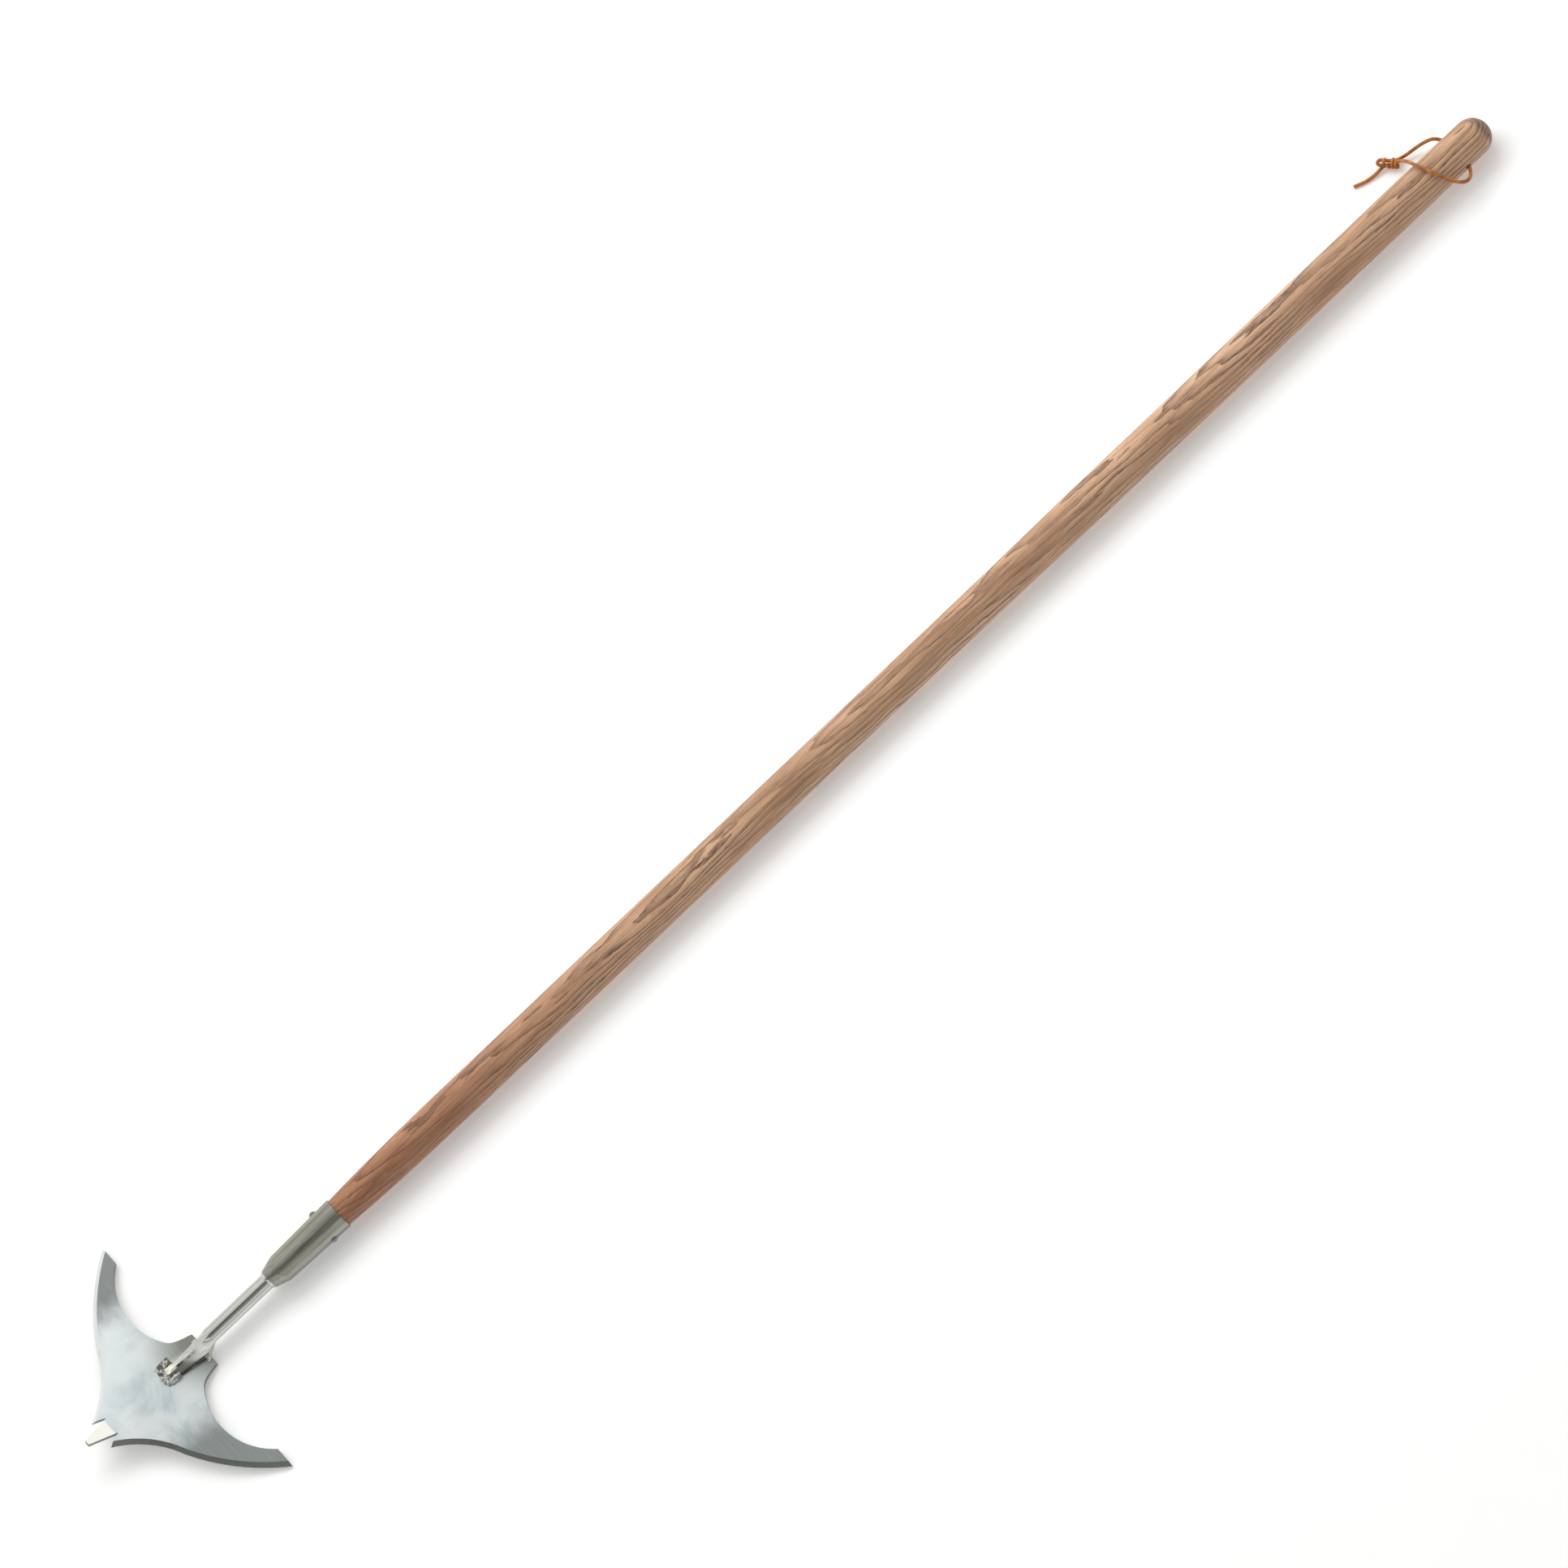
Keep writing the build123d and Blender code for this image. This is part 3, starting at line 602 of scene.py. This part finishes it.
def spline_length(curve):
    """The length of a curve's own line."""
    bare = curve.copy()
    bare.bevel_depth = 0
    line = curve_mesh(bare)
    ends = [[line.vertices[index].co for index in edge.vertices] for edge in line.edges]
    return sum((start - end).length for start, end in ends)


strands = {}
for name, route in (("long_strand", long_route), ("short_strand", short_route), ("tail", tail_route)):
    points = [from_hole(*place) for place in route]
    line = route_curve("lace_" + name, points, THONG_DIA)
    strand = keep(line, "lace_" + name, leather, "hanging_thong")
    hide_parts("thong_" + name)
    strands[name] = (strand, points[0], spline_length(strand.data))

core_route = [from_hole(0, left * HOLE_MOUTH, 0) for left in (-1, -0.3, 0.3, 1)]
core_mesh = curve_mesh(route_curve("lace_core", core_route, THONG_DIA))
core = keep(core_mesh, "lace_core", leather, "hanging_thong")
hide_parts("thong_core")

KNOT_TURN = math.radians(50)
knot_along = Vector((-math.cos(KNOT_TURN), math.sin(KNOT_TURN), 0))
knot_side = Vector((-math.sin(KNOT_TURN), -math.cos(KNOT_TURN), 0))


def in_knot(along, side, up):
    """A place in the knot, from millimetres away from the handle, sideways, and up."""
    return KNOT + knot_along * along * MM + knot_side * side * MM + Vector((0, 0, up * MM))


def wraps(start, end, radius, turns, lean, phase):
    """Points of a lace wound round the knot."""
    count = int(turns * 12)
    points = []
    for step in range(count + 1):
        turn = 2 * math.pi * turns * step / count + phase
        along = start + (end - start) * step / count + lean * math.cos(turn)
        points.append(in_knot(along, radius * math.cos(turn), radius * math.sin(turn)))
    return points


bight = [
    (-9.0, 1.9, 0.4), (-4.0, 1.9, 0.6), (2.0, 2.1, 0.4), (6.5, 2.4, 0.2), (9.0, 1.6, 0.0),
    (9.3, -0.6, -0.2), (7.6, -2.6, -0.2), (3.0, -2.1, 0.2), (-2.0, -1.8, 0.5), (-8.0, -1.6, 0.6),
]
knot_lines = [
    wraps(-8.0, -0.6, 3.35, 2.35, 0.9, math.radians(-60)),
    wraps(3.2, 3.9, 3.0, 0.62, 0.5, math.radians(-30)),
    [in_knot(*place) for place in bight],
]
knot_meshes = [curve_mesh(route_curve("knot_line", line, THONG_DIA)) for line in knot_lines]
knot_mesh = joined(knot_meshes, "lace_knot")
knot_mesh.shade_smooth()
knot = keep(knot_mesh, "lace_knot", leather, "hanging_thong")
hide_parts("thong_knot")
strand, exit_point, length = strands["long_strand"]
strand, exit_point, length = strands["short_strand"]
strand, exit_point, length = strands["tail"]
print("cord lengths", {name: round(value[2], 4) for name, value in strands.items()})

# ---- floor, light and camera ----
CAMERA_TILT = math.radians(22)
HANDLE_ANGLE = math.radians(43.5)
CAMERA_DISTANCE = 6.5
FRAME_WIDTH = 1.2597
SENSOR = 36.0


def floor():
    n = Nodes("pale_floor")
    paper = n.noise(n.place, scale=35, detail=3)
    n.set(colour=n.mix(paper, (0.90, 0.90, 0.90), (0.93, 0.93, 0.93)), rough=0.9, specular=0.1)
    n.shader.inputs["Emission Color"].default_value = (1, 1, 1, 1)
    n.shader.inputs["Emission Strength"].default_value = 0.22
    mesh = bpy.data.meshes.new("floor")
    reach = 6
    mesh.from_pydata([(-reach, -reach, 0), (reach, -reach, 0), (reach, reach, 0), (-reach, reach, 0)], [],
                     [(0, 1, 2, 3)])
    mesh.materials.append(n.material)
    ground = bpy.data.objects.new("floor", mesh)
    scene.collection.objects.link(ground)


def softbox(name, place, aim, width, height, power):
    light = bpy.data.lights.new(name, "AREA")
    light.shape = "RECTANGLE"
    light.size = width
    light.size_y = height
    light.energy = power
    lamp = bpy.data.objects.new(name, light)
    lamp.location = place
    lamp.rotation_euler = (Vector(aim) - Vector(place)).to_track_quat("-Z", "Y").to_euler()
    lamp.visible_glossy = False
    scene.collection.objects.link(lamp)


def studio():
    """A bright room with a few grey bands along the tool, so that polished steel has something to show."""
    world = bpy.data.worlds.new("studio")
    scene.world = world
    world.use_nodes = True
    tree = world.node_tree
    coordinates = tree.nodes.new("ShaderNodeTexCoord")
    split = tree.nodes.new("ShaderNodeSeparateXYZ")
    turn = tree.nodes.new("ShaderNodeMath")
    turn.operation = "ARCTAN2"
    tree.links.new(coordinates.outputs["Generated"], split.inputs[0])
    tree.links.new(split.outputs["Y"], turn.inputs[0])
    tree.links.new(split.outputs["Z"], turn.inputs[1])
    degrees = tree.nodes.new("ShaderNodeMapRange")
    degrees.inputs["From Min"].default_value = -math.pi
    degrees.inputs["From Max"].default_value = math.pi
    tree.links.new(turn.outputs[0], degrees.inputs["Value"])
    bands = tree.nodes.new("ShaderNodeValToRGB")
    stops = [(-180, 0.80), (-100, 0.75), (-80, 0.35), (-72, 0.95), (-56, 0.85), (-44, 0.22), (-34, 0.14),
             (-30, 0.65), (-26, 0.14), (-10, 0.12), (0, 0.45), (7, 0.95), (40, 1.0), (62, 1.1), (72, 0.35),
             (79, 1.1), (100, 0.6), (180, 0.8)]
    elements = bands.color_ramp.elements
    while len(elements) < len(stops):
        elements.new(0.5)
    for element, (angle, value) in zip(elements, stops):
        element.position = (angle + 180) / 360
        element.color = (value, value, value * 0.985, 1)
    tree.links.new(degrees.outputs[0], bands.inputs["Fac"])
    background = tree.nodes["Background"]
    background.inputs["Strength"].default_value = 1.0
    tree.links.new(bands.outputs["Color"], background.inputs["Color"])
    softbox("key", (0.3, 1.9, 2.3), (0, 0, 0), 3.2, 1.4, 46)


def camera():
    """Above the tool and a little to its right, with the handle running to the frame's upper right."""
    towards = Vector((0, -math.sin(CAMERA_TILT), math.cos(CAMERA_TILT)))
    side = Vector((0, math.cos(CAMERA_TILT), math.sin(CAMERA_TILT)))
    along = Vector((1, 0, 0))
    right = along * math.cos(HANDLE_ANGLE) - side * math.sin(HANDLE_ANGLE)
    up = along * math.sin(HANDLE_ANGLE) + side * math.cos(HANDLE_ANGLE)
    target = Vector((MOUTH_X + 0.4966, 0, AXIS_Z)) + side * 0.0039
    lens = bpy.data.cameras.new("camera")
    lens.sensor_width = SENSOR
    lens.lens = SENSOR * CAMERA_DISTANCE / FRAME_WIDTH
    eye = bpy.data.objects.new("camera", lens)
    rotation = Matrix((right, up, towards)).transposed().to_4x4()
    eye.matrix_world = Matrix.Translation(target + towards * CAMERA_DISTANCE) @ rotation
    scene.collection.objects.link(eye)
    scene.camera = eye


floor()
studio()
camera()
scene.view_settings.view_transform = "Standard"
